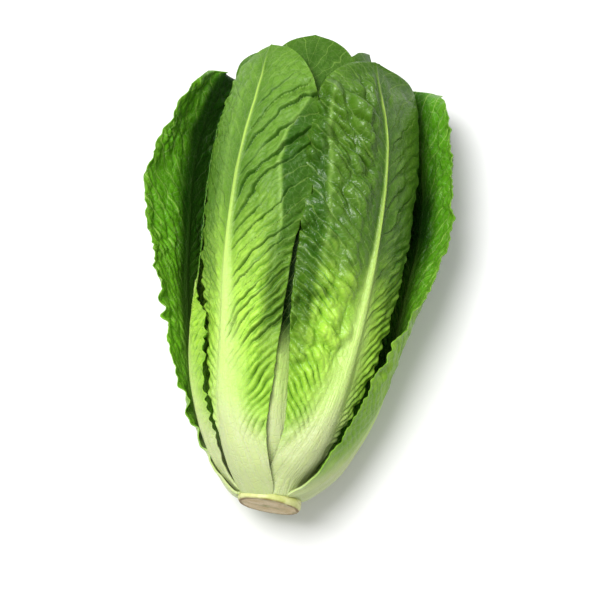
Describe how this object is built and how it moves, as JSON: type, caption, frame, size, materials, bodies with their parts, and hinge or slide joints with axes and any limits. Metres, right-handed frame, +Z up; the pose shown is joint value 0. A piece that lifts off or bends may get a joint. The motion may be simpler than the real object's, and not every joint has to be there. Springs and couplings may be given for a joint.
{
  "type": "romaine lettuce head",
  "caption": "Head of romaine lettuce lying on its side: long crinkled green leaves with pale midribs, wrapped in a spiral round a short cut stem.",
  "frame": {"origin": "middle of the head's footprint, on the surface that it lies on", "axes": "+Y along the head from the cut stem to the leaf tips, +Z up, +X to the right seen from above with the tips away"},
  "size_m": [0.1944, 0.2916, 0.1034],
  "materials": {
    "stem": "fresh cut lettuce stem: pale yellow-green rind, tan cut face with a thin browned rim",
    "outer_leaf": "crisp lettuce leaf with a soft waxy gloss: deep green puckered blade, pale veins and midrib",
    "heart_leaf": "crisp inner lettuce leaf with a soft waxy gloss: yellow-green blade, almost white midrib"
  },
  "bodies": {
    "root": {"stem": "stem", "left_outer_leaf": "outer_leaf", "right_outer_leaf": "outer_leaf", "left_front_leaf": "outer_leaf", "underside_leaf": "outer_leaf", "right_front_leaf": "outer_leaf", "left_side_leaf": "outer_leaf", "right_underside_leaf": "outer_leaf", "centre_leaf": "outer_leaf", "left_underside_leaf": "outer_leaf", "right_side_leaf": "outer_leaf", "left_back_leaf": "outer_leaf", "heart_leaf_01": "heart_leaf", "heart_leaf_02": "heart_leaf", "heart_leaf_03": "heart_leaf", "heart_leaf_04": "heart_leaf", "heart_leaf_05": "heart_leaf", "heart_leaf_06": "heart_leaf", "heart_leaf_07": "heart_leaf", "heart_leaf_08": "heart_leaf", "heart_leaf_09": "heart_leaf", "heart_leaf_10": "heart_leaf", "heart_leaf_11": "heart_leaf"}
  },
  "joints": []
}
